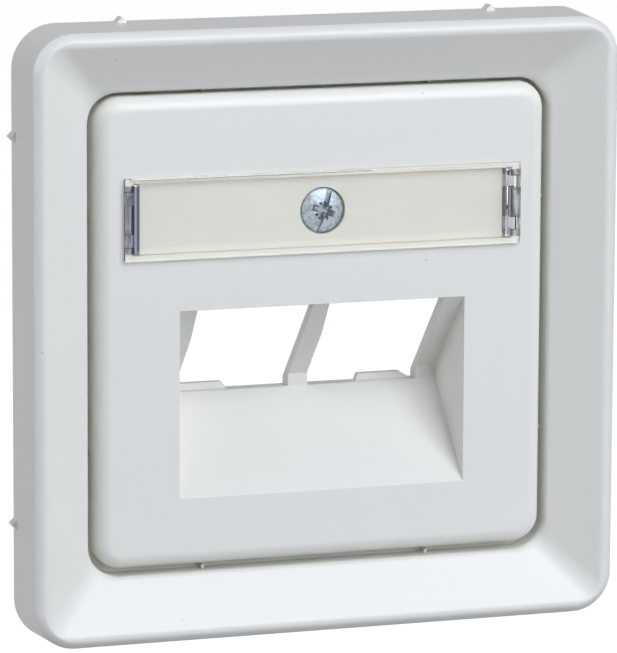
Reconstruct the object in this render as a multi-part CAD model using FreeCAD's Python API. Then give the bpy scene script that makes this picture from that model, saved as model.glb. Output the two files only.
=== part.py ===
import FreeCAD
import Part
import math
import os

# Square wall plate: dished cover frame, centre plate with a slanted jack recess,
# clear label window over a card, and one fixing screw. Millimetres, +Z up.
# The origin is the middle of the wall plane, the front looks along -Y and +Y runs into the wall.

# Cover frame
frame_side = 81.0
frame_depth = 9.6
frame_corner_radius = 5.8
frame_draft = 0.4
frame_wall = 1.8
rim_radius = 1.25
rim_land = 0.03
flank_angle = 33.6
border_width = 8.7
opening_corner_radius = 4.4
well_edge_radius = 1.0
well_wall = 1.6
ledge_width = 3.3
ledge_thickness = 1.4
ledge_back = 0.4
stiffener_offset = 20.0
stiffener_thickness = 1.0
stiffener_setback = 0.8
outer_rib_offset = 25.4
outer_rib_shift = 0.7
outer_rib_rise = 0.65
outer_rib_length = 1.8
locating_rib_offset = 15.6
locating_rib_width = 0.4
locating_rib_rise = 1.4
locating_rib_clearance = 0.35

# Centre plate
plate_gap = 0.8
plate_lift = 0.3
plate_proud = 1.0
plate_edge_radius = 2.0
plate_wall = 2.0
skirt_wall = 1.6

# Slanted recess with two jack windows
recess_width = 39.4
recess_top = 3.1
recess_height = 24.8
recess_depth = 10.3
recess_draft = 0.15
recess_lip = 0.1
back_strip_level = -9.55
back_strip_height = 1.7
back_strip_wall = 2.3
jack_plane_wall = 1.2
recess_wall = 1.3
window_width = 15.45
divider_width = 2.7
window_flare = 0.45
window_flare_height = 4.5
tab_height = 0.9
tab_thickness = 1.0
left_tab_length = 6.5
left_tab_slope = 0.75
right_tab_start = 7.6
right_tab_length = 5.9
right_tab_slope = 0.3
right_tab_tail = 1.5

# Label field
label_level = 15.4
label_margin = 3.7
label_height = 10.8
label_proud = 0.8
label_corner_radius = 0.8
label_edge_radius = 0.25
field_side_border = 0.7
field_end_border = 2.2
field_depth = 1.0
card_thickness = 0.25
card_clearance = 0.15
seat_clearance = 0.05
leg_thickness = 0.7
leg_overrun = 0.6
leg_clearance = 0.15
catch_spacing = 5.5
catch_height = 1.6
catch_reach = 1.1

# Fixing screw
head_diameter = 6.0
head_dome = 0.75
head_edge = 0.2
head_clearance = 0.1
neck_diameter = 2.3
neck_overrun = 0.5
shank_diameter = 2.9
shank_length = 20.0
shank_clearance = 0.25
tip_chamfer = 0.5
slot_width = 0.8
slot_depth = 0.8
cross_span = 3.4
cross_width = 0.9
cross_depth = 1.3
slot_tilt = 20.0
boss_wall = 1.5
boss_length = 4.5

# Worked-out sizes
frame_half = frame_side / 2
front_half = frame_half - frame_draft
opening_half = frame_half - border_width
flank_slope = math.tan(math.radians(flank_angle))
rim_width = rim_radius * (1 + math.tan(math.radians(flank_angle / 2))) + rim_land
mouth_half = front_half - rim_width
mouth_radius = frame_corner_radius - frame_draft - rim_width
well_front = frame_depth - (mouth_half - opening_half) * flank_slope
ledge_front = ledge_back + ledge_thickness
ledge_half = opening_half - ledge_width
ledge_radius = opening_corner_radius - ledge_width / 2

plate_half = opening_half - plate_gap
plate_radius = opening_corner_radius - plate_gap
face = -(well_front + plate_proud)
front_wall_back = face + plate_wall

recess_half = recess_width / 2
recess_bottom = recess_top - recess_height
recess_back = face + recess_depth
strip_top = back_strip_level + back_strip_height
window_start = divider_width / 2
window_end = window_start + window_width
tub_back = recess_back + back_strip_wall

label_half = plate_half - label_margin
label_front = face - label_proud
field_half_width = label_half - field_end_border
field_half_height = label_height / 2 - field_side_border
field_floor = face + field_depth
leg_inner = field_half_width + leg_clearance
leg_outer = leg_inner + leg_thickness
leg_half_height = field_half_height - leg_clearance

head_radius = head_diameter / 2
head_rim = field_floor
head_front = head_rim - head_dome
head_hole_radius = head_radius + head_clearance
boss_back = front_wall_back + boss_length
neck_end = boss_back + neck_overrun
neck_radius = neck_diameter / 2
cone_start = head_rim + head_edge
cone_end = cone_start + head_radius - neck_radius
shank_radius = shank_diameter / 2
shank_hole_radius = shank_radius + shank_clearance

reach = frame_depth
origin = FreeCAD.Vector(0, 0, 0)
depth_axis = FreeCAD.Vector(0, 1, 0)


def rounded_rectangle(half_x, half_z, radius, y, level=0.0):
    # Closed outline with round corners, lying in the plane at depth y.
    bend = radius * (1 - math.sqrt(0.5))
    edges = []
    corners = [(1, 1), (-1, 1), (-1, -1), (1, -1)]
    arcs = []
    for index, (sx, sz) in enumerate(corners):
        along_z = FreeCAD.Vector(sx * half_x, y, level + sz * (half_z - radius))
        middle = FreeCAD.Vector(sx * (half_x - bend), y, level + sz * (half_z - bend))
        along_x = FreeCAD.Vector(sx * (half_x - radius), y, level + sz * half_z)
        ends = (along_z, along_x) if index % 2 == 0 else (along_x, along_z)
        arcs.append((ends[0], middle, ends[1]))
    for index, (start, middle, end) in enumerate(arcs):
        edges.append(Part.Arc(start, middle, end).toShape())
        following = arcs[(index + 1) % len(arcs)][0]
        edges.append(Part.LineSegment(end, following).toShape())
    return Part.Wire(edges)


def rounded_square(half, radius, y):
    return rounded_rectangle(half, half, radius, y)


def block_between(outline, depth):
    # Straight block from an outline, running back by depth.
    return Part.Face(outline).extrude(FreeCAD.Vector(0, depth, 0))


def taper(first, second):
    return Part.makeLoft([first, second], True, True)


def side_profile(points, half_width):
    # Block with a section given as (depth, height) points, spread evenly to both sides.
    corners = [FreeCAD.Vector(-half_width, y, z) for y, z in points]
    outline = Part.makePolygon(corners + [corners[0]])
    return Part.Face(outline).extrude(FreeCAD.Vector(2 * half_width, 0, 0))


def front_profile(points, start, depth):
    # Block with a front outline given as (x, z) points, from depth start running back.
    corners = [FreeCAD.Vector(x, start, z) for x, z in points]
    outline = Part.makePolygon(corners + [corners[0]])
    return Part.Face(outline).extrude(FreeCAD.Vector(0, depth, 0))


def box(x, y, z):
    # Box from three (low, high) pairs.
    corner = FreeCAD.Vector(x[0], y[0], z[0])
    return Part.makeBox(x[1] - x[0], y[1] - y[0], z[1] - z[0], corner)


def rod(radius, y_front, y_back, level):
    foot = FreeCAD.Vector(0, y_front, level)
    return Part.makeCylinder(radius, y_back - y_front, foot, depth_axis)


def edges_at(shape, y):
    # Edges that lie in the plane at depth y.
    near = 1e-4
    found = []
    for edge in shape.Edges:
        bounds = edge.BoundBox
        if abs(bounds.YMin - y) < near and abs(bounds.YMax - y) < near:
            found.append(edge)
    return found


def four_walls(shape):
    # The shape on the top wall, its mirror on the bottom wall, and both mirrored onto the side walls.
    pair = [shape, shape.mirror(origin, FreeCAD.Vector(0, 0, 1))]
    diagonal = FreeCAD.Vector(1, 0, 1)
    return pair + [wall.mirror(origin, diagonal) for wall in pair]


def dish_half(y, offset=0.0):
    # Half width of the dished flank at depth y, offset back by a depth.
    return opening_half + (offset - y - well_front) / flank_slope


def dish_radius(half):
    share = (half - opening_half) / (mouth_half - opening_half)
    return opening_corner_radius + share * (mouth_radius - opening_corner_radius)


def frame_outside():
    back = rounded_square(frame_half, frame_corner_radius, 0)
    front = rounded_square(front_half, frame_corner_radius - frame_draft, -frame_depth)
    body = taper(back, front)
    mouth = -(frame_depth + rim_width)
    mouth_reach = dish_half(mouth)
    inner_edge = rounded_square(opening_half, opening_corner_radius, -well_front)
    outer_edge = rounded_square(mouth_reach, dish_radius(mouth_reach), mouth)
    body = body.cut(taper(outer_edge, inner_edge))
    body = body.cut(block_between(inner_edge, well_front - ledge_front))
    rim = edges_at(body, -frame_depth)
    body = body.makeFillet(rim_radius, rim)
    return body.makeFillet(well_edge_radius, edges_at(body, -well_front))


def frame_cavity():
    # Hollow behind the flanks, between the outer wall and the wall of the well.
    inner_radius = frame_corner_radius - frame_wall
    top = -(frame_depth - frame_wall)
    wall_draft = frame_draft * (frame_depth - frame_wall) / frame_depth
    back = rounded_square(frame_half - frame_wall, inner_radius, 0)
    front = rounded_square(frame_half - frame_wall - wall_draft, inner_radius - wall_draft, top)
    hollow = taper(back, front)
    roof_offset = frame_wall / math.cos(math.radians(flank_angle))
    core_half = opening_half + well_wall
    core_front = roof_offset - well_front - well_wall * flank_slope
    core_radius = opening_corner_radius + well_wall
    foot = rounded_square(core_half, core_radius, core_front)
    top_half = dish_half(-frame_depth, roof_offset)
    top_edge = rounded_square(top_half, dish_radius(top_half), -frame_depth)
    hollow = hollow.cut(block_between(foot, -core_front))
    hollow = hollow.cut(taper(top_edge, foot))
    for side in (-1, 1):
        low = side * stiffener_offset - stiffener_thickness / 2
        span = (low, low + stiffener_thickness)
        depth = (-frame_depth, -stiffener_setback)
        across = (-frame_half, frame_half)
        hollow = hollow.cut(box(span, depth, across))
        hollow = hollow.cut(box(across, depth, span))
    return hollow


def frame_ribs():
    # Short square bars set on edge on the outer walls, and thin ribs that locate the plate in the well.
    ribs = []
    for side in (-1, 1):
        x = side * outer_rib_offset - outer_rib_shift
        diamond = [
            (x - outer_rib_rise, frame_half),
            (x, frame_half + outer_rib_rise),
            (x + outer_rib_rise, frame_half),
            (x, frame_half - outer_rib_rise),
        ]
        ribs += four_walls(front_profile(diamond, -outer_rib_length, outer_rib_length))
        low = side * locating_rib_offset - locating_rib_width / 2
        span = (low, low + locating_rib_width)
        depth = (-ledge_front - locating_rib_rise, -ledge_back)
        height = (plate_half + locating_rib_clearance, opening_half + well_wall / 2)
        ribs += four_walls(box(span, depth, height))
    return ribs


def cover_frame():
    body = frame_outside()
    body = body.cut(frame_cavity())
    hole = rounded_square(ledge_half, ledge_radius, -frame_depth)
    body = body.cut(block_between(hole, frame_depth))
    behind_ledge = rounded_square(opening_half, opening_corner_radius, -ledge_back)
    body = body.cut(block_between(behind_ledge, ledge_back))
    body = body.multiFuse(frame_ribs())
    return body.removeSplitter()


def recess_spread(y):
    # Half width of the recess at depth y, narrowing towards its back.
    return recess_half - recess_draft * (y - face) / recess_depth


def recess_wedge(extra, y_front, y_back):
    front = recess_spread(y_front) + extra
    back = recess_spread(y_back) + extra
    corners = [(-front, y_front), (front, y_front), (back, y_back), (-back, y_back)]
    low = recess_bottom - reach
    points = [FreeCAD.Vector(x, y, low) for x, y in corners]
    outline = Part.makePolygon(points + [points[0]])
    return Part.Face(outline).extrude(FreeCAD.Vector(0, 0, recess_height + 2 * reach))


def recess_void():
    # Open space of the recess: slanted jack plane above, sloping floor below.
    section = [
        (face - reach, recess_top),
        (face + recess_lip, recess_top),
        (recess_back, strip_top),
        (recess_back, back_strip_level),
        (face, recess_bottom),
        (face - reach, recess_bottom),
    ]
    return side_profile(section, recess_half + reach).common(recess_wedge(0, face - reach, recess_back))


def recess_tub():
    # Walls that stand behind the front wall and carry the recess.
    floor_rise = (back_strip_level - recess_bottom) / recess_depth
    floor_drop = recess_wall * math.hypot(1, floor_rise)
    plane_fall = (recess_top - strip_top) / (recess_depth - recess_lip)
    plane_lift = jack_plane_wall * math.hypot(1, plane_fall)
    start = face + plate_wall / 2
    section = [
        (start, recess_top - plane_fall * (start - face - recess_lip) + plane_lift),
        (tub_back, strip_top - plane_fall * back_strip_wall + plane_lift),
        (tub_back, back_strip_level - recess_wall),
        (recess_back, back_strip_level - floor_drop),
        (start, recess_bottom + floor_rise * (start - face) - floor_drop),
    ]
    return side_profile(section, recess_half + reach).common(recess_wedge(recess_wall, start, tub_back))


def jack_window(side):
    # Straight way through the slanted plane and the strip behind it.
    low, high = sorted((side * window_start, side * window_end))
    section = [
        (recess_back - recess_lip, back_strip_level),
        (tub_back + reach, back_strip_level),
        (tub_back + reach, recess_top),
        (face + recess_lip, recess_top),
    ]
    way = side_profile(section, recess_half)
    way = way.common(box((low, high), (face, tub_back + reach), (recess_bottom, recess_top)))
    flare = [
        (low, recess_top - window_flare_height),
        (low, recess_top),
        (low - window_flare, recess_top),
    ]
    return way.fuse(front_profile(flare, face + recess_lip, tub_back - face))


def catch_tabs():
    # Low tabs on the sill of each window, where the jacks' carrier hooks in.
    base = back_strip_level - recess_wall / 2
    top = back_strip_level + tab_height
    left_end = -window_end + left_tab_length
    left = [
        (-window_end - recess_wall / 2, base),
        (-window_end - recess_wall / 2, top),
        (left_end, top),
        (left_end + left_tab_slope, back_strip_level),
        (left_end + left_tab_slope, base),
    ]
    right_low = window_start + right_tab_start
    right_high = right_low + right_tab_length
    right = [
        (right_low - right_tab_slope, base),
        (right_low - right_tab_slope, back_strip_level),
        (right_low, top),
        (right_high, top),
        (right_high + right_tab_tail, back_strip_level),
        (right_high + right_tab_tail, base),
    ]
    return [front_profile(outline, tub_back - tab_thickness, tab_thickness) for outline in (left, right)]


def window_legs(y_front, y_back, extra):
    # A long leg at each end of the label field, with two catches on its outer side, grown by extra.
    depth = (y_front, y_back)
    inner = leg_inner - extra
    legs = []
    for side in (-1, 1):
        tall = leg_half_height + extra
        across = sorted((side * inner, side * (leg_outer + extra)))
        legs.append(box(across, depth, (label_level - tall, label_level + tall)))
        for row in (-1, 1):
            middle = label_level + row * catch_spacing / 2
            tall = catch_height / 2 + extra
            across = sorted((side * inner, side * (leg_outer + catch_reach + extra)))
            legs.append(box(across, depth, (middle - tall, middle + tall)))
    return legs


def label_field():
    # Shallow pocket behind the clear window, which takes the card.
    across = (-field_half_width, field_half_width)
    tall = (label_level - field_half_height, label_level + field_half_height)
    return box(across, (face - reach, field_floor), tall)


def head_seat():
    # Countersink for the screw's head, and the hole for its shank behind it.
    mouth = rod(head_hole_radius, face - reach, cone_start, label_level)
    foot = FreeCAD.Vector(0, cone_start, label_level)
    depth = head_hole_radius - shank_hole_radius
    cone = Part.makeCone(head_hole_radius, shank_hole_radius, depth, foot, depth_axis)
    return mouth.multiFuse([cone, rod(shank_hole_radius, face, boss_back, label_level)])


def plate_outline(half, radius, y):
    # Outline around the plate's own middle, which sits a little above the middle of the frame.
    return rounded_rectangle(half, half, radius, y, plate_lift)


def central_plate():
    outline = plate_outline(plate_half, plate_radius, face)
    body = block_between(outline, -ledge_front - face)
    body = body.makeFillet(plate_edge_radius, edges_at(body, face))
    inner_half = plate_half - skirt_wall
    inner_radius = plate_radius - skirt_wall / 2
    inside = plate_outline(inner_half, inner_radius, front_wall_back)
    body = body.cut(block_between(inside, -ledge_front - front_wall_back))
    boss_start = (field_floor + front_wall_back) / 2
    boss = rod(shank_hole_radius + boss_wall, boss_start, boss_back, label_level)
    body = body.multiFuse([recess_tub(), boss])
    body = body.cut(recess_void())
    body = body.cut(jack_window(-1)).cut(jack_window(1))
    body = body.multiFuse(catch_tabs())
    body = body.cut(label_field()).cut(head_seat())
    for leg in window_legs(face - reach, front_wall_back, leg_clearance):
        body = body.cut(leg)
    return body.removeSplitter()


def label_window():
    back = face - seat_clearance
    outline = rounded_rectangle(label_half, label_height / 2, label_corner_radius, label_front, label_level)
    body = block_between(outline, back - label_front)
    body = body.makeFillet(label_edge_radius, edges_at(body, label_front))
    middle = (label_front + back) / 2
    body = body.multiFuse(window_legs(middle, front_wall_back + leg_overrun, 0))
    return body.removeSplitter()


def label_card():
    half_width = field_half_width - card_clearance
    half_height = field_half_height - card_clearance
    across = (-half_width, half_width)
    tall = (label_level - half_height, label_level + half_height)
    card = box(across, (field_floor - card_thickness, field_floor), tall)
    return card.cut(rod(head_hole_radius, face - reach, field_floor, label_level))


def screw_profile():
    # Half section from the axis: raised countersunk head, plain neck, threaded shank and chamfered tip.
    tip = head_rim + shank_length
    crown = FreeCAD.Vector(0, head_front, 0)
    shoulder = FreeCAD.Vector(head_radius, head_rim, 0)
    dome_radius = (head_radius ** 2 + head_dome ** 2) / (2 * head_dome)
    half_way = math.asin(head_radius / dome_radius) / 2
    rise = dome_radius * (1 - math.cos(half_way))
    bulge = FreeCAD.Vector(dome_radius * math.sin(half_way), head_front + rise, 0)
    straight = [
        shoulder,
        FreeCAD.Vector(head_radius, cone_start, 0),
        FreeCAD.Vector(neck_radius, cone_end, 0),
        FreeCAD.Vector(neck_radius, neck_end, 0),
        FreeCAD.Vector(shank_radius, neck_end, 0),
        FreeCAD.Vector(shank_radius, tip - tip_chamfer, 0),
        FreeCAD.Vector(shank_radius - tip_chamfer, tip, 0),
        FreeCAD.Vector(0, tip, 0),
        crown,
    ]
    edges = [Part.Arc(crown, bulge, shoulder).toShape()]
    for start, end in zip(straight, straight[1:]):
        edges.append(Part.LineSegment(start, end).toShape())
    return Part.Face(Part.Wire(edges))


def drive_recess():
    # Straight slot across the head with a shorter, deeper cross at its middle.
    across = (-slot_width / 2, slot_width / 2)
    shallow = (head_front - reach, head_front + slot_depth)
    slot = box(across, shallow, (-head_radius, head_radius))
    arm = (-cross_width / 2, cross_width / 2)
    span = (-cross_span / 2, cross_span / 2)
    deep = (head_front - reach, head_front + cross_depth)
    cutter = slot.multiFuse([box(arm, deep, span), box(span, deep, arm)])
    cutter.rotate(origin, depth_axis, slot_tilt)
    return cutter


def fixing_screw():
    body = screw_profile().revolve(origin, depth_axis, 360)
    body = body.cut(drive_recess())
    body.translate(FreeCAD.Vector(0, 0, label_level))
    return body


pieces = {
    "cover_frame": cover_frame,
    "central_plate": central_plate,
    "label_window": label_window,
    "label_card": label_card,
    "fixing_screw": fixing_screw,
}

os.makedirs("parts", exist_ok=True)
for name, make in pieces.items():
    shape = make()
    print(name, "solids", len(shape.Solids), "valid", shape.isValid(), "volume %.1f" % shape.Volume)
    shape.exportStep("parts/" + name + ".step")
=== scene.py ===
import bpy
import bmesh
import math
from mathutils import Matrix, Vector


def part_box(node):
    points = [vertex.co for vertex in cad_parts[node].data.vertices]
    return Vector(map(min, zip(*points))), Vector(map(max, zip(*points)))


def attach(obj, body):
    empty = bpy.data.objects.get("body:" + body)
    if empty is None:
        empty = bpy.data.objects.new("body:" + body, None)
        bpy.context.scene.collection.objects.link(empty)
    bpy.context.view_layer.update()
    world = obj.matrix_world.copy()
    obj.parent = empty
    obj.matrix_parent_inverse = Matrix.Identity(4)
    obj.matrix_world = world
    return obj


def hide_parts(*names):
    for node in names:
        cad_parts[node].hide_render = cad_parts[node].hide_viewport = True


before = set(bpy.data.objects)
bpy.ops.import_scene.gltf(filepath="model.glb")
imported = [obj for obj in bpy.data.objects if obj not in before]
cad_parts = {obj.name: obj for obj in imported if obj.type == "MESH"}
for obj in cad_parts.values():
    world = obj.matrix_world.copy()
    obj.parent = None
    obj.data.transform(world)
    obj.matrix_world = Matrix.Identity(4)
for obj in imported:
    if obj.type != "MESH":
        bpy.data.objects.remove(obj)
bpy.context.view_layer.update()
mm = 0.001
quarterTurn = math.pi / 2
fullTurn = 2 * math.pi

scene = bpy.context.scene
scene.view_settings.view_transform = "Standard"


# node maths: one wrapper for shader trees and geometry trees
class Socket:
    def __init__(self, tree, out=None):
        self.tree = tree
        self.out = out

    def node(self, kind, settings=None, inputs=None, out=0):
        made = self.tree.nodes.new(kind)
        for name, value in (settings or {}).items():
            setattr(made, name, value)
        for name, value in (inputs or {}).items():
            if isinstance(value, Socket):
                self.tree.links.new(value.out, made.inputs[name])
            else:
                made.inputs[name].default_value = value
        return Socket(self.tree, made.outputs[out])

    def other(self, out):  # another output of the same node
        return Socket(self.tree, self.out.node.outputs[out])

    def maths(self, operation, first, second=0.0):
        return self.node("ShaderNodeMath", {"operation": operation}, {0: first, 1: second})

    def __add__(self, value):
        return self.maths("ADD", self, value)

    def __radd__(self, value):
        return self.maths("ADD", value, self)

    def __sub__(self, value):
        return self.maths("SUBTRACT", self, value)

    def __rsub__(self, value):
        return self.maths("SUBTRACT", value, self)

    def __mul__(self, value):
        return self.maths("MULTIPLY", self, value)

    def __truediv__(self, value):
        return self.maths("DIVIDE", self, value)

    def __gt__(self, value):
        return self.maths("GREATER_THAN", self, value)

    def __lt__(self, value):
        return self.maths("LESS_THAN", self, value)


# geometry trees
def startTree(name, sizes):
    tree = bpy.data.node_groups.new(name, "GeometryNodeTree")
    tree.interface.new_socket("Geometry", in_out="INPUT", socket_type="NodeSocketGeometry")
    for title, kind in sizes.items():
        tree.interface.new_socket(title, in_out="INPUT", socket_type="NodeSocket" + kind)
    tree.interface.new_socket("Material", in_out="INPUT", socket_type="NodeSocketMaterial")
    tree.interface.new_socket("Geometry", in_out="OUTPUT", socket_type="NodeSocketGeometry")
    entry = tree.nodes.new("NodeGroupInput")
    return {socket.name: Socket(tree, socket) for socket in entry.outputs if socket.name}


def endTree(given, shape):
    whole = shape.node("GeometryNodeRealizeInstances", None, {"Geometry": shape})
    painted = whole.node("GeometryNodeSetMaterial", None, {"Geometry": whole, "Material": given["Material"]})
    exitNode = shape.tree.nodes.new("NodeGroupOutput")
    shape.tree.links.new(painted.out, exitNode.inputs["Geometry"])
    return shape.tree


def grow(obj, tree, values):
    modifier = obj.modifiers.new(tree.name, "NODES")
    modifier.node_group = tree
    for item in tree.interface.items_tree:
        if item.in_out == "INPUT" and item.name in values:
            modifier[item.identifier] = values[item.name]
    bakeModifiers(obj)


def bakeModifiers(obj):
    depsgraph = bpy.context.evaluated_depsgraph_get()
    mesh = bpy.data.meshes.new_from_object(obj.evaluated_get(depsgraph))
    obj.modifiers.clear()
    obj.data = mesh


# mesh helpers
meshing = {
    "mergeDistance": 0.0005 * mm,
    "weldDistance": 0.001 * mm,
    "flatAngle": 0.2,  # faces that turn by less than this are joined
    "bevelSegments": 2,
    "flatWeight": 100,  # large faces stay flat in shading
}


def newObject(name, points=(), faces=()):
    mesh = bpy.data.meshes.new(name)
    mesh.from_pydata([tuple(point) for point in points], [], list(faces))
    obj = bpy.data.objects.new(name, mesh)
    scene.collection.objects.link(obj)
    return obj


def editMesh(obj, change):
    form = bmesh.new()
    form.from_mesh(obj.data)
    change(form)
    form.to_mesh(obj.data)
    form.free()


def turnOutward(obj):
    editMesh(obj, lambda form: bmesh.ops.recalc_face_normals(form, faces=form.faces))


def copyOfNode(node, name):
    obj = bpy.data.objects.new(name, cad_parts[node].data.copy())
    scene.collection.objects.link(obj)
    flatAngle = math.radians(meshing["flatAngle"])

    def joinFaces(form):
        bmesh.ops.remove_doubles(form, verts=form.verts, dist=meshing["mergeDistance"])
        bmesh.ops.dissolve_limit(form, angle_limit=flatAngle, verts=form.verts, edges=form.edges)

    editMesh(obj, joinFaces)
    return obj


def combine(obj, tool, operation):
    joined = obj.modifiers.new("combine", "BOOLEAN")
    joined.operation = operation
    joined.solver = "EXACT"
    joined.object = tool
    bakeModifiers(obj)
    bpy.data.objects.remove(tool)


def softenEdges(obj, width, angle):
    bevel = obj.modifiers.new("softEdges", "BEVEL")
    bevel.width = width
    bevel.segments = meshing["bevelSegments"]
    bevel.limit_method = "ANGLE"
    bevel.angle_limit = math.radians(angle)
    bakeModifiers(obj)


def shadeSmooth(obj, angle):
    obj.data.shade_smooth()
    obj.data.set_sharp_from_angle(angle=math.radians(angle))
    weighted = obj.modifiers.new("flatFaces", "WEIGHTED_NORMAL")
    weighted.mode = "FACE_AREA"
    weighted.weight = meshing["flatWeight"]
    weighted.keep_sharp = True
    bakeModifiers(obj)


def setMaterial(obj, material):
    obj.data.materials.clear()
    obj.data.materials.append(material)


def dress(obj, node, body, material):
    setMaterial(obj, material)
    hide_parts(node)
    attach(obj, body)


# materials
noiseMiddle = 0.5  # noise drifts about this value
mixColour = {"first": 6, "second": 7, "result": 2}  # places of the Mix node's colour sockets


def startMaterial(name):
    material = bpy.data.materials.new(name)
    material.use_nodes = True
    tree = material.node_tree
    tree.nodes.clear()
    return material, Socket(tree)


def endMaterial(surface):
    exitNode = surface.tree.nodes.new("ShaderNodeOutputMaterial")
    surface.tree.links.new(surface.out, exitNode.inputs["Surface"])


def objectPlace(start):
    return start.node("ShaderNodeTexCoord", out="Object")


def noise(place, scale, detail=2.0):
    return place.node("ShaderNodeTexNoise", None, {"Vector": place, "Scale": scale, "Detail": detail})


def stretched(place, factors):
    return place.node("ShaderNodeVectorMath", {"operation": "MULTIPLY"}, {0: place, 1: factors})


def scaled(start, colour, factor):
    return start.node("ShaderNodeVectorMath", {"operation": "SCALE"}, {"Vector": colour, "Scale": factor})


def blend(share, first, second):  # two colours mixed by a share
    colours = [shade if isinstance(shade, Socket) else (*shade, 1.0) for shade in (first, second)]
    inputs = {0: share, mixColour["first"]: colours[0], mixColour["second"]: colours[1]}
    return share.node("ShaderNodeMix", {"data_type": "RGBA"}, inputs, mixColour["result"])


def ramp(value, start, end):  # 0 before start, 1 after end, smooth between them
    return value.node("ShaderNodeMapRange", {"interpolation_type": "SMOOTHSTEP"}, {
        "Value": value, "From Min": start, "From Max": end})


def bump(height, strength, distance):
    return height.node("ShaderNodeBump", None, {
        "Strength": strength, "Distance": distance, "Height": height})


# moulded white plastic: faint drift of shade, faint skin, a few dark dust specks
whitePlastic = {
    "colour": (0.83, 0.815, 0.745),
    "roughness": 0.3,
    "roughnessSpread": 0.04,
    "driftScale": 60.0,
    "driftDetail": 3.0,
    "drift": 0.008,
    "skinScale": 1500.0,
    "skinStrength": 0.03,
    "skinHeight": 0.02 * mm,
    "speckScale": 210.0,
    "speckSize": 0.03,
    "speckShade": 0.4,
}


def makePlastic(name, look):
    material, start = startMaterial(name)
    place = objectPlace(start)
    drift = noise(place, look["driftScale"], look["driftDetail"]) - noiseMiddle
    cell = place.node("ShaderNodeTexVoronoi", None, {"Vector": place, "Scale": look["speckScale"]})
    chance = cell.node("ShaderNodeSeparateXYZ", None, {0: cell.other("Color")})
    speck = cell < chance * look["speckSize"]
    shade = 1 + drift * look["drift"] - speck * look["speckShade"]
    skin = noise(place, look["skinScale"])
    surface = start.node("ShaderNodeBsdfPrincipled", None, {
        "Base Color": scaled(start, look["colour"], shade),
        "Roughness": look["roughness"] + drift * look["roughnessSpread"],
        "Normal": bump(skin, look["skinStrength"], look["skinHeight"]),
    })
    endMaterial(surface)
    return material


# clear window with faint smears; painted shade on its legs, darker at the left, and painted shade with
# streaks at its ends stand for light bent in the clear plastic
clearPlastic = {
    "colour": (0.95, 0.945, 0.925),
    "roughness": 0.02,
    "roughnessSpread": 0.03,
    "smearScale": 260.0,
    "refraction": 1.5,
    # painted shade and painted streaks at the ends, standing for light bent in the clear plastic
    "paintedEndShade": (0.75, 0.755, 0.80),
    "paintedStreakShade": (0.40, 0.41, 0.46),
    "streakScale": 2400.0,
    "streakStretch": (1.0, 0.0, 0.15),
    "streakStart": 0.46,
    "streakEnd": 0.6,
    # painted shade on the legs, darker on the left leg
    "rightLegPaintedShade": (0.28, 0.30, 0.34),
    "leftLegPaintedShade": (0.09, 0.095, 0.15),
    "legStart": 25.35 * mm,
    "legEnd": 26.2 * mm,
    "leftShift": 0.12 * mm,  # the left leg looks farther out
    "legHalf": 4.4 * mm,
    "legBlur": 0.1 * mm,
    "catchLevel": 2.75 * mm,
    "catchHalf": 0.8 * mm,
}


def makeClear(name, look):
    material, start = startMaterial(name)
    place = objectPlace(start)
    parts = place.node("ShaderNodeSeparateXYZ", None, {0: place})
    low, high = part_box("label_window")
    blur = look["legBlur"]
    right = parts > 0
    along = parts.maths("ABSOLUTE", parts) - (1 - right) * look["leftShift"]
    height = parts.other("Z") - (low[2] + high[2]) / 2
    tall = height.maths("ABSOLUTE", height)
    row = tall.maths("ABSOLUTE", tall - look["catchLevel"])
    inside = 1 - ramp(tall, look["legHalf"], look["legHalf"] + blur)
    outside = ramp(along, look["legEnd"], look["legEnd"] + blur)
    leg = ramp(along, look["legStart"] - blur, look["legStart"]) * (1 - outside)
    beside = ramp(row, look["catchHalf"] - blur, look["catchHalf"])
    plainEnd = outside * beside.maths("MAXIMUM", beside, 1 - right)
    lines = noise(stretched(place, look["streakStretch"]), look["streakScale"])
    streak = ramp(lines, look["streakStart"], look["streakEnd"])
    # painted shade on the legs and painted streaks at the ends, standing for light bent in the clear plastic
    legPaintedShade = blend(right, look["leftLegPaintedShade"], look["rightLegPaintedShade"])
    paintedEndShade = blend(streak, look["paintedEndShade"], look["paintedStreakShade"])
    colourAndPaintedShade = blend(leg * inside, blend(plainEnd * inside, look["colour"], paintedEndShade), legPaintedShade)
    smear = noise(place, look["smearScale"])
    surface = start.node("ShaderNodeBsdfPrincipled", None, {
        "Base Color": scaled(start, colourAndPaintedShade, 1 - smear * look["roughnessSpread"]),
        "Roughness": look["roughness"] + smear * look["roughnessSpread"],
        "Transmission Weight": 1.0,
        "IOR": look["refraction"],
    })
    endMaterial(surface)
    return material


# zinc plating: bluish metal with a mottled tone and gloss, with painted shade in the slot, the cross and at
# the head's edge
zincPlating = {
    "darkColour": (0.25, 0.34, 0.45),
    "lightColour": (0.54, 0.60, 0.64),
    "mottleScale": 2400.0,
    "mottleDetail": 4.0,
    "mottleStart": 0.34,
    "mottleEnd": 0.64,
    "roughness": 0.44,
    "roughnessSpread": 0.14,
    "grainHeight": 0.08 * mm,
    "grainStrength": 0.5,
    "rimStart": 2.6 * mm,  # painted shade: the head's rounded edge is darker, standing for the dark surroundings it reflects
    "rimEnd": 3.0 * mm,
    "rimShade": 0.6,
    "driveDepth": 1.5 * mm,  # the painted shade ends just below the cross
    "driveStart": 0.12 * mm,
    "driveEnd": 0.35 * mm,
    "driveShade": 0.25,
}


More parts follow.
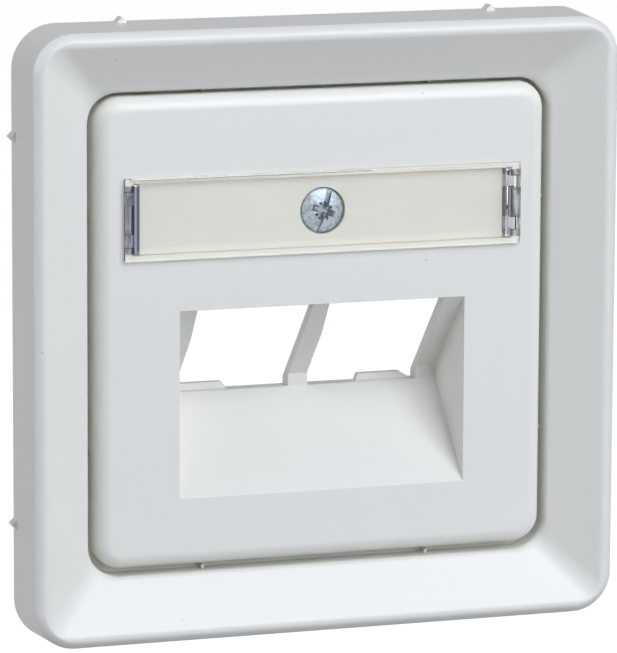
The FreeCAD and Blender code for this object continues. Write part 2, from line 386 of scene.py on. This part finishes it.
def makeZinc(name, look):
    material, start = startMaterial(name)
    place = objectPlace(start)
    low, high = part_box("fixing_screw")
    front = (0, low[1], (low[2] + high[2]) / 2)
    offset = place.node("ShaderNodeVectorMath", {"operation": "SUBTRACT"}, {0: place, 1: front})
    across = stretched(offset, (1, 0, 1))  # without its depth
    radius = across.node("ShaderNodeVectorMath", {"operation": "LENGTH"}, {0: across}, "Value")
    depth = offset.node("ShaderNodeSeparateXYZ", None, {0: offset}, "Y")
    share = radius / (fixingScrew["headRadius"] * mm)
    dome = share * share * (fixingScrew["dome"] * mm)
    # painted shade in the recesses: darker where the surface lies below the dome, in the slot and the cross
    sunk = ramp(depth - dome, look["driveStart"], look["driveEnd"])
    drive = sunk * (depth < look["driveDepth"])
    # painted shade at the head's edge, standing for a dark reflection
    rim = ramp(radius, look["rimStart"], look["rimEnd"])
    mottle = noise(place, look["mottleScale"], look["mottleDetail"])
    patch = ramp(mottle, look["mottleStart"], look["mottleEnd"])
    shade = (1 - rim * look["rimShade"]) * (1 - drive * look["driveShade"])
    surface = start.node("ShaderNodeBsdfPrincipled", None, {
        "Base Color": scaled(start, blend(patch, look["darkColour"], look["lightColour"]), shade),
        "Roughness": look["roughness"] + (mottle - noiseMiddle) * look["roughnessSpread"],
        "Normal": bump(mottle, look["grainStrength"], look["grainHeight"]),
        "Metallic": 1.0,
    })
    endMaterial(surface)
    return material


# paper card with a fine fibre grain, painted shadow along its upper edge and painted light along its lower
# edge
creamCard = {
    "colour": (0.782, 0.772, 0.722),
    "roughness": 0.75,
    "fibreScale": 2400.0,
    "fibreDetail": 5.0,
    "fibreStretch": (0.3, 1.0, 1.0),
    "fibre": 0.05,
    "upperBand": 1.4 * mm,  # painted shadow of the field's upper wall: darker along its upper edge
    "upperShade": 0.1,
    "lowerBand": 1.2 * mm,  # painted light: paler along its lower edge
    "lowerPaintedLight": 0.13,
    "fibreHeight": 0.02 * mm,
    "fibreStrength": 0.2,
}


def makeCard(name, look):
    material, start = startMaterial(name)
    place = objectPlace(start)
    along = stretched(place, look["fibreStretch"])
    fibre = noise(along, look["fibreScale"], look["fibreDetail"]) - noiseMiddle
    low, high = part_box("label_card")
    level = place.node("ShaderNodeSeparateXYZ", None, {0: place}, "Z")
    # painted shadow near the upper edge, painted light near the lower edge
    upper = ramp(level, high[2] - look["upperBand"], high[2])
    lower = 1 - ramp(level, low[2], low[2] + look["lowerBand"])
    shade = 1 + fibre * look["fibre"] - upper * look["upperShade"] + lower * look["lowerPaintedLight"]
    surface = start.node("ShaderNodeBsdfPrincipled", None, {
        "Base Color": scaled(start, look["colour"], shade),
        "Roughness": look["roughness"] + fibre * look["fibre"],
        "Normal": bump(fibre, look["fibreStrength"], look["fibreHeight"]),
    })
    endMaterial(surface)
    return material


# grid of vertices with one row per profile point and one column per step around
def profileGrid(given, around, extraRows):
    profile = given["Geometry"]
    rows = profile.node("GeometryNodeAttributeDomainSize", {"component": "MESH"}, {0: profile})
    grid = profile.node("GeometryNodeMeshGrid", None, {"Vertices X": rows + extraRows, "Vertices Y": around})
    index = profile.node("GeometryNodeInputIndex")
    row = index.maths("FLOOR", index / around)
    column = index - row * around
    place = profile.node("GeometryNodeInputPosition")
    found = profile.node("GeometryNodeSampleIndex", {"data_type": "FLOAT_VECTOR"}, {
        "Geometry": profile, "Value": place, "Index": row.maths("MODULO", row, rows)})
    parts = found.node("ShaderNodeSeparateXYZ", None, {0: found})
    return grid, column, (parts, parts.other(1), parts.other(2))


def placeGrid(given, grid, x, y, z):
    spot = x.node("ShaderNodeCombineXYZ", None, {0: x, 1: y, 2: z})
    moved = spot.node("GeometryNodeSetPosition", None, {"Geometry": grid, "Position": spot})
    closed = moved.node("GeometryNodeMergeByDistance", None, {
        "Geometry": moved, "Distance": meshing["weldDistance"]})
    return endTree(given, closed)


# ring of rounded squares: each profile point holds (half width, depth, corner radius)
# rows within the valley sink at their corners, so that they stay on the four flank planes
def makeLoftTree():
    corners = 4
    given = startTree("roundedSquareLoft", {
        "Corner Steps": "Int", "Valley Half": "Float", "Valley Depth": "Float", "Valley Slope": "Float",
        "Valley Radius": "Float"})
    steps = given["Corner Steps"]
    grid, along, (half, depth, radius) = profileGrid(given, (steps + 1) * corners + 1, 1)
    corner = along.maths("FLOOR", along / (steps + 1))
    turn = (corner + (along - corner * (steps + 1)) / steps) * quarterTurn
    aim = (corner + 0.5) * quarterTurn
    reach = (half - radius) * math.sqrt(2)
    x = reach * aim.maths("COSINE", aim) + radius * turn.maths("COSINE", turn)
    z = reach * aim.maths("SINE", aim) + radius * turn.maths("SINE", turn)
    bend = given["Valley Radius"]
    away = x.maths("ABSOLUTE", x)
    up = z.maths("ABSOLUTE", z)
    apart = x.maths("ABSOLUTE", away - up)
    near = x.maths("MINIMUM", apart, bend)
    extent = (away + up + apart - near - x.maths("SQRT", bend * bend * 2 - near * near)) / 2 + bend
    valley = (given["Valley Half"] > half) * (given["Valley Depth"] > depth)
    sunk = depth + valley * (half - extent) * given["Valley Slope"]
    return placeGrid(given, grid, x, sunk, z)


# turned part with a thread: each profile point holds (radius, depth, thread depth)
def makeThreadTree():
    given = startTree("threadedTurning", {"Steps Around": "Int", "Pitch": "Float", "Level": "Float"})
    steps = given["Steps Around"]
    grid, along, (radius, depth, cut) = profileGrid(given, steps + 1, 0)
    share = along / steps
    angle = share * fullTurn
    wave = depth.maths("FRACT", depth / given["Pitch"] + share)
    edge = radius - cut * wave.maths("ABSOLUTE", wave * 2 - 1)
    x = edge * angle.maths("COSINE", angle)
    z = edge * angle.maths("SINE", angle) + given["Level"]
    return placeGrid(given, grid, x, depth, z)


# the same small shape twice on each of the four walls, turned about the middle
def makeWallTree():
    walls = 4
    perWall = 2
    given = startTree("wallPattern", {"Shape": "Object", "Offset": "Float", "Shift": "Float"})
    line = given["Geometry"].node("GeometryNodeMeshLine", None, {"Count": walls * perWall})
    index = line.node("GeometryNodeInputIndex")
    wall = index.maths("FLOOR", index / perWall)
    side = (index - wall * perWall) * 2 - 1  # -1 or 1
    way = (wall > 1) * 2 - 1  # -1 on the first two walls, 1 on the others
    along = side * given["Offset"] + way * given["Shift"]
    turn = wall * quarterTurn
    x = along * turn.maths("COSINE", turn)
    z = 0 - along * turn.maths("SINE", turn)
    spot = x.node("ShaderNodeCombineXYZ", None, {0: x, 1: 0.0, 2: z})
    placed = line.node("GeometryNodeSetPosition", None, {"Geometry": line, "Position": spot})
    shape = line.node("GeometryNodeObjectInfo", None, {"Object": given["Shape"]}, "Geometry")
    rotation = turn.node("ShaderNodeCombineXYZ", None, {0: 0.0, 1: turn, 2: 0.0})
    copies = placed.node("GeometryNodeInstanceOnPoints", None, {
        "Points": placed, "Instance": shape, "Rotation": rotation})
    return endTree(given, copies)


loftTree = makeLoftTree()
threadTree = makeThreadTree()
wallTree = makeWallTree()
print("trees made")


# closed outline with each corner turned into an arc, held by a support point on either side
def roundedProfile(corners, stepAngle, support):
    fewestSteps = 3
    points = []
    count = len(corners)
    for index, (place, radius) in enumerate(corners):
        before = corners[index - 1][0]
        after = corners[(index + 1) % count][0]
        arrive = Vector((place.x - before.x, place.y - before.y))
        leave = Vector((after.x - place.x, after.y - place.y))
        turn = arrive.angle(leave)
        tangent = radius * math.tan(turn / 2)
        start = place.lerp(before, tangent / arrive.length)
        end = place.lerp(after, tangent / leave.length)
        steps = max(fewestSteps, round(math.degrees(turn) / stepAngle))
        weight = math.cos(turn / 2)
        points.append(place.lerp(before, (tangent + support) / arrive.length))
        for step in range(steps + 1):
            share = step / steps
            parts = ((1 - share) ** 2, 2 * share * (1 - share) * weight, share ** 2)
            mixed = start * parts[0] + place * parts[1] + end * parts[2]
            points.append(mixed / sum(parts))
        points.append(place.lerp(after, (tangent + support) / leave.length))
    return points


# closed shape from rings of points, each joined to the next, with a cap at either end
def ringShape(name, rings):
    count = len(rings[0])
    points = [Vector(point) * mm for ring in rings for point in ring]
    last = len(points) - 1
    faces = [tuple(range(count)), tuple(range(last, last - count, -1))]
    for start in range(0, len(points) - count, count):
        for side in range(count):
            after = (side + 1) % count
            faces.append((start + side, start + count + side, start + count + after, start + after))
    obj = newObject(name, points, faces)
    turnOutward(obj)
    return obj


# upright slab across X, with its outline given as (height, depth) points
def slabShape(name, section, thickness):
    return ringShape(name, [[(side * thickness / 2, y, z) for z, y in section] for side in (-1, 1)])


# square bar set on edge, running forward from the wall plane
def edgeBarShape(name, rise, length, level):
    edges = ((-rise, 0.0), (0.0, rise), (rise, 0.0), (0.0, -rise))
    return ringShape(name, [[(x, y, level + z) for x, z in edges] for y in (-length, 0.0)])


# cover frame
coverFrame = {
    "half": 40.5,
    "depth": 9.6,
    "cornerRadius": 5.8,
    "draft": 0.45,
    "wall": 1.8,
    "rimWidth": 1.7,
    "rimFall": 1.0,  # the rim's outer face bends back and meets the wall at an edge
    "rimSlant": 1.0,
    "rimEdge": 0.25,
    "rimBend": (0.35, 0.53, 2.0),  # how far in and forward of the edge it bends, and the bend's radius
    "rimCrown": 0.8,
    "rimRadius": 1.1,
    "mouthRadius": 2.6,
    "mitreHalf": 33.2,  # down to here the flanks meet in a narrow valley
    "mitreRadius": 2.0,
    "valleyHalf": 33.0,
    "valleyDepth": 3.0,
    "flankAngle": 33.6,
    "openingHalf": 31.8,
    "openingRadius": 4.4,
    "wellEdgeRadius": 1.0,
    "wellWall": 1.6,
    "ledgeWidth": 3.3,
    "ledgeThickness": 1.4,
    "ledgeBack": 0.4,
    "smallRadius": 0.15,
    "cornerSteps": 20,
    "arcStep": 7.0,
    "support": 0.04,
    "plateHalf": 31.0,
}
frameRibs = {
    "outerOffset": 25.4,
    "outerShift": 0.7,
    "outerRise": 0.65,
    "outerLength": 1.8,
    "stiffenerOffset": 20.0,
    "stiffenerThickness": 1.0,
    "stiffenerSetback": 0.8,
    "locatingOffset": 15.6,
    "locatingWidth": 0.4,
    "locatingRise": 1.4,
    "locatingClearance": 0.35,
    "overlap": 0.4,
}


def flankDepth(size, half):
    frontHalf = size["half"] - size["draft"]
    slope = math.tan(math.radians(size["flankAngle"]))
    return size["depth"] - (frontHalf - size["rimWidth"] - half) * slope


def frameProfile(size):
    slope = math.tan(math.radians(size["flankAngle"]))
    half = size["half"]
    frontHalf = half - size["draft"]
    mouthHalf = frontHalf - size["rimWidth"]
    frontRadius = size["cornerRadius"] - size["draft"]
    opening = size["openingHalf"]
    openingRadius = size["openingRadius"]
    wellDepth = size["depth"] - (mouthHalf - opening) * slope
    ledgeFront = size["ledgeBack"] + size["ledgeThickness"]
    ledgeHalf = opening - size["ledgeWidth"]
    ledgeRadius = openingRadius - size["ledgeWidth"] / 2
    coreHalf = opening + size["wellWall"]
    coreRadius = openingRadius + size["wellWall"]
    roofStart = wellDepth - size["wall"] / math.cos(math.radians(size["flankAngle"]))
    coreDepth = roofStart + size["wellWall"] * slope
    hollowHalf = half - size["wall"]
    hollowRadius = size["cornerRadius"] - size["wall"]
    lean = size["draft"] / size["depth"]
    roofDepth = (roofStart + (hollowHalf - opening) * slope) / (1 + lean * slope)
    roofHalf = hollowHalf - lean * roofDepth
    small = size["smallRadius"]
    edgeDepth = size["rimFall"] - size["depth"]
    bendIn, bendForward, bendRadius = size["rimBend"]
    corners = [
        ((half, 0.0, size["cornerRadius"]), small),
        ((frontHalf, edgeDepth, frontRadius), size["rimEdge"]),
        ((frontHalf - bendIn, edgeDepth - bendForward, frontRadius - bendIn), bendRadius),
        ((frontHalf - size["rimSlant"], -size["depth"], frontRadius - size["rimSlant"]), size["rimCrown"]),
        ((mouthHalf, -size["depth"], size["mouthRadius"]), size["rimRadius"]),
        ((size["mitreHalf"], -flankDepth(size, size["mitreHalf"]), size["mitreRadius"]), 0.0),
        ((opening, -wellDepth, openingRadius), size["wellEdgeRadius"]),
        ((opening, -ledgeFront, openingRadius), small),
        ((ledgeHalf, -ledgeFront, ledgeRadius), small),
        ((ledgeHalf, -size["ledgeBack"], ledgeRadius), small),
        ((opening, -size["ledgeBack"], openingRadius), small),
        ((opening, 0.0, openingRadius), small),
        ((coreHalf, 0.0, coreRadius), small),
        ((coreHalf, -coreDepth, coreRadius), small),
        ((roofHalf, -roofDepth, hollowRadius), small),
        ((hollowHalf, 0.0, hollowRadius), small),
    ]
    return [(Vector(place) * mm, radius * mm) for place, radius in corners]


def makeFrameRibs(size, ribs):
    ledgeFront = size["ledgeBack"] + size["ledgeThickness"]
    inner = size["openingHalf"] + size["wellWall"] / 2
    outer = size["half"] - size["wall"] + ribs["overlap"]
    sunk = size["wall"] / 2 / math.cos(math.radians(size["flankAngle"]))
    section = (
        (inner, -ribs["stiffenerSetback"]),
        (outer, -ribs["stiffenerSetback"]),
        (outer, sunk - flankDepth(size, outer)),
        (inner, sunk - flankDepth(size, inner)),
    )
    rib = edgeBarShape("outerRib", ribs["outerRise"], ribs["outerLength"], size["half"])
    stiffener = slabShape("stiffener", section, ribs["stiffenerThickness"])
    clear = size["plateHalf"] + ribs["locatingClearance"]
    rooted = size["openingHalf"] + ribs["overlap"]
    front = -ledgeFront - ribs["locatingRise"]
    back = -size["ledgeBack"]
    outline = ((clear, front), (rooted, front), (rooted, back), (clear, back))
    locating = slabShape("locatingRib", outline, ribs["locatingWidth"])
    return (
        (rib, ribs["outerOffset"], ribs["outerShift"]),
        (stiffener, ribs["stiffenerOffset"], 0.0),
        (locating, ribs["locatingOffset"], 0.0),
    )


def makeCoverFrame(material):
    size = coverFrame
    outline = roundedProfile(frameProfile(size), size["arcStep"], size["support"] * mm)
    obj = newObject("coverFrame", outline)
    grow(obj, loftTree, {
        "Corner Steps": size["cornerSteps"],
        "Valley Half": size["valleyHalf"] * mm,
        "Valley Depth": -size["valleyDepth"] * mm,
        "Valley Slope": math.tan(math.radians(size["flankAngle"])),
        "Valley Radius": size["mitreRadius"] * mm,
        "Material": material,
    })
    turnOutward(obj)
    for shape, offset, shift in makeFrameRibs(size, frameRibs):
        pattern = newObject("ribPattern")
        grow(pattern, wallTree, {
            "Shape": shape,
            "Offset": offset * mm,
            "Shift": shift * mm,
            "Material": material,
        })
        bpy.data.objects.remove(shape)
        combine(obj, pattern, "UNION")
    return obj


# centre plate, window and card follow the construction's shapes
softEdge = {"centrePlate": 0.12, "labelCard": 0.03}
sharpAngle = 35
windowCorner = {"radius": 0.8, "shownRadius": 0.3}
cardFit = {"growth": 0.13, "edge": 0.05}


def fromMiddle(node, vert):
    low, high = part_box(node)
    x = vert.co.x - (low[0] + high[0]) / 2
    z = vert.co.z - (low[2] + high[2]) / 2
    return x, z, abs(x) - (high[0] - low[0]) / 2, abs(z) - (high[2] - low[2]) / 2


def squareCorners(form):  # the window's corners are almost square
    radius = windowCorner["radius"] * mm
    spare = radius - windowCorner["shownRadius"] * mm
    for vert in form.verts:
        x, z, pastX, pastZ = fromMiddle("label_window", vert)
        arm = Vector((pastX + radius, pastZ + radius))
        if min(arm) > 0:
            move = Vector((spare, spare)) - arm.normalized() * spare
            vert.co.x += math.copysign(move.x, x)
            vert.co.z += math.copysign(move.y, z)


def fillField(form):  # the card reaches the walls of its field
    growth = cardFit["growth"] * mm
    edge = cardFit["edge"] * mm
    for vert in form.verts:
        x, z, pastX, pastZ = fromMiddle("label_card", vert)
        if pastX > -edge:
            vert.co.x += math.copysign(growth, x)
        if pastZ > -edge:
            vert.co.z += math.copysign(growth, z)


def makeCopy(node, name, change=None):
    obj = copyOfNode(node, name)
    if change:
        editMesh(obj, change)
    if name in softEdge:
        softenEdges(obj, softEdge[name] * mm, sharpAngle)
    return obj


# fixing screw: turned body with a thread, slot and cross cut into its raised countersunk head
fixingScrew = {
    "headRadius": 3.0,
    "dome": 0.75,
    "domeSteps": 12,
    "edge": 0.2,
    "neckRadius": 1.15,
    "threadRadius": 1.45,
    "threadDepth": 0.3,
    "threadLength": 14.0,
    "pitch": 0.5,
    "rowsPerPitch": 8,
    "tipChamfer": 0.5,
    "stepsAround": 72,
    "slotWidth": 0.8,
    "slotDepth": 0.8,
    "crossSpan": 3.4,
    "crossFoot": 1.8,
    "crossWidth": 0.9,
    "crossDepth": 1.3,
    "starSpan": 2.6,
    "starWidth": 0.45,
    "starDepth": 0.7,
    "crossTurns": (0, 90),
    "starTurns": (45, 135),
    "footShare": 0.5,  # the arms narrow to this share of their width
    "tilt": 20,
    "overrun": 1.0,
}


def screwProfile(size, front, tip):
    head = size["headRadius"]
    domeRadius = (head ** 2 + size["dome"] ** 2) / (2 * size["dome"])
    spread = math.asin(head / domeRadius)
    coneStart = front + size["dome"] + size["edge"]
    coneEnd = coneStart + head - size["neckRadius"]
    neckEnd = tip - size["threadLength"]
    threadEnd = tip - size["tipChamfer"]
    points = []
    for step in range(size["domeSteps"] + 1):
        angle = spread * step / size["domeSteps"]
        points.append((domeRadius * math.sin(angle), front + domeRadius * (1 - math.cos(angle)), 0.0))
    points.append((head, coneStart, 0.0))
    points.append((size["neckRadius"], coneEnd, 0.0))
    points.append((size["neckRadius"], neckEnd, 0.0))
    rows = round((threadEnd - neckEnd) / size["pitch"] * size["rowsPerPitch"])
    for row in range(rows + 1):
        depth = neckEnd + (threadEnd - neckEnd) * row / rows
        points.append((size["threadRadius"], depth, size["threadDepth"]))
    points.append((size["threadRadius"] - size["tipChamfer"], tip, 0.0))
    points.append((0.0, tip, 0.0))
    return [Vector(point) * mm for point in points]


# block from (half x, half z) at the head's front to a smaller foot, running out in front
def taperedCutter(name, top, foot, front, depth, overrun):
    signs = ((1, 1), (-1, 1), (-1, -1), (1, -1))
    levels = ((top, front - overrun), (top, front), (foot, front + depth))
    return ringShape(name, [
        [(signX * halfX, y, signZ * halfZ) for signX, signZ in signs] for (halfX, halfZ), y in levels])


def makeScrew(material):
    size = fixingScrew
    low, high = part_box("fixing_screw")
    front = low[1] / mm
    tip = high[1] / mm
    level = (low[2] + high[2]) / 2
    obj = newObject("fixingScrew", screwProfile(size, front, tip))
    grow(obj, threadTree, {
        "Steps Around": size["stepsAround"],
        "Pitch": size["pitch"] * mm,
        "Level": level,
        "Material": material,
    })
    turnOutward(obj)
    slot = size["slotWidth"] / 2
    reach = size["headRadius"] + size["overrun"]
    arm = size["crossWidth"] / 2
    span = size["crossSpan"] / 2
    foot = size["crossFoot"] / 2
    ray = size["starWidth"] / 2
    rayEnd = size["starSpan"] / 2
    narrow = size["footShare"]
    cutters = [(0, (slot, reach), (slot, reach), size["slotDepth"])]
    for turn in size["crossTurns"]:
        cutters.append((turn, (arm, span), (arm * narrow, foot), size["crossDepth"]))
    for turn in size["starTurns"]:
        cutters.append((turn, (ray, rayEnd), (ray * narrow, foot), size["starDepth"]))
    for turn, top, bottom, depth in cutters:
        tool = taperedCutter("driveCutter", top, bottom, front, depth, size["overrun"])
        tilt = Matrix.Rotation(math.radians(size["tilt"] + turn), 4, "Y")
        tool.data.transform(Matrix.Translation((0, 0, level)) @ tilt)
        combine(obj, tool, "DIFFERENCE")
    return obj


# the dressed pieces
frameWhite = makePlastic("frameWhite", whitePlastic)
plateWhite = makePlastic("plateWhite", whitePlastic)
windowClear = makeClear("windowClear", clearPlastic)
screwZinc = makeZinc("screwZinc", zincPlating)
cardCream = makeCard("cardCream", creamCard)

pieces = (
    (makeCoverFrame(frameWhite), "cover_frame", "plate_and_frame", "frame_white", frameWhite),
    (makeCopy("central_plate", "centrePlate"),
     "central_plate", "plate_and_frame", "plate_white", plateWhite),
    (makeCopy("label_window", "labelWindow", squareCorners),
     "label_window", "clear_window", "clear_window", windowClear),
    (makeCopy("label_card", "labelCard", fillField),
     "label_card", "plate_and_frame", "label_card", cardCream),
    (makeScrew(screwZinc), "fixing_screw", "screw", "zinc_screw", screwZinc),
)
for piece, node, body, slot, material in pieces:
    shadeSmooth(piece, sharpAngle)
    dress(piece, node, body, material)
print("pieces made")

# camera at the photograph's angle
view = {
    "yaw": 19.13,
    "pitch": 9.91,
    "roll": 0.27,
    "offset": (0.07, -0.91, 673.2),  # the camera's place along its own axes, in mm
    "focalPixels": 5101,
    "imageWidth": 617,
    "sensorWidth": 36.0,
    "nearest": 0.01,
    "farthest": 50.0,
}


def makeCamera():
    lens = bpy.data.cameras.new("photoCamera")
    lens.sensor_fit = "HORIZONTAL"
    lens.sensor_width = view["sensorWidth"]
    lens.lens = view["sensorWidth"] * view["focalPixels"] / view["imageWidth"]
    lens.clip_start = view["nearest"]
    lens.clip_end = view["farthest"]
    camera = bpy.data.objects.new("photoCamera", lens)
    scene.collection.objects.link(camera)
    turn = Matrix.Rotation(-math.radians(view["yaw"]), 4, "Z")
    turn @= Matrix.Rotation(quarterTurn - math.radians(view["pitch"]), 4, "X")
    turn @= Matrix.Rotation(math.radians(view["roll"]), 4, "Z")
    place = turn @ (Vector(view["offset"]) * mm)
    camera.matrix_world = Matrix.Translation(place) @ turn
    scene.camera = camera


# studio: soft square panels around the part, each (turn to the right, height, power)
studio = {
    "key": (25, 40, 10.2),
    "keyTop": (-5, 40, 2.4),
    "keyLeft": (-35, 40, 1.2),
    "front": (20, 15, 5.8),
    "frontRight": (45, 15, 2.6),
    "left": (-80, 15, 4.8),
    "leftBack": (-110, 15, 3.2),
    "leftHigh": (-100, 40, 2.0),
    "right": (100, 15, 0.8),
}
lampColour = (0.948, 1.0, 1.112)
lampDistance = 1.5
lampSide = 0.9


def makeLights():
    for name, (turn, height, power) in studio.items():
        lamp = bpy.data.lights.new(name, "AREA")
        lamp.shape = "RECTANGLE"
        lamp.size = lampSide
        lamp.size_y = lampSide
        lamp.energy = power
        lamp.color = lampColour
        obj = bpy.data.objects.new(name, lamp)
        scene.collection.objects.link(obj)
        around = math.radians(turn)
        rise = math.radians(height)
        flat = math.cos(rise)
        toward = Vector((math.sin(around) * flat, -math.cos(around) * flat, math.sin(rise)))
        obj.location = toward * lampDistance
        obj.rotation_euler = toward.to_track_quat("Z", "Y").to_euler()
        obj.visible_camera = False


backdrop = {
    "floorLevel": -0.25,
    "floorSize": 8.0,
    "floorColour": (0.4, 0.4, 0.4, 1.0),
    "white": (1.0, 1.0, 1.0, 1.0),
    "lift": 0.97,  # the floor glows a little less than the backdrop
    "mirrored": 0.5,  # how bright gloss and metal show the backdrop
}


# the backdrop as the camera sees it, straight, through glass or mirrored, but not as a light
def shownBackground(start):
    ray = start.node("ShaderNodeLightPath")
    mirrored = ray.other("Is Glossy Ray") * backdrop["mirrored"]
    return ray.maths("MINIMUM", ray + ray.other("Is Transmission Ray") + mirrored, 1.0)


def makeWorld():
    world = bpy.data.worlds.new("paleStudio")
    scene.world = world
    world.use_nodes = True
    tree = world.node_tree
    tree.nodes.clear()
    start = Socket(tree)
    strength = shownBackground(start)
    glow = start.node("ShaderNodeBackground", None, {"Color": backdrop["white"], "Strength": strength})
    exitNode = tree.nodes.new("ShaderNodeOutputWorld")
    tree.links.new(glow.out, exitNode.inputs["Surface"])


def makeFloor():
    half = backdrop["floorSize"] / 2
    level = backdrop["floorLevel"]
    corners = [(-half, -half, level), (half, -half, level), (half, half, level), (-half, half, level)]
    floor = newObject("floor", corners, [(0, 1, 2, 3)])
    material, start = startMaterial("paleFloor")
    matt = start.node("ShaderNodeBsdfDiffuse", None, {"Color": backdrop["floorColour"]})
    strength = shownBackground(start) * backdrop["lift"]
    glow = start.node("ShaderNodeEmission", None, {"Color": backdrop["white"], "Strength": strength})
    both = start.node("ShaderNodeAddShader", None, {0: matt, 1: glow})
    endMaterial(both)
    setMaterial(floor, material)


makeCamera()
makeLights()
makeWorld()
makeFloor()
print("studio made")
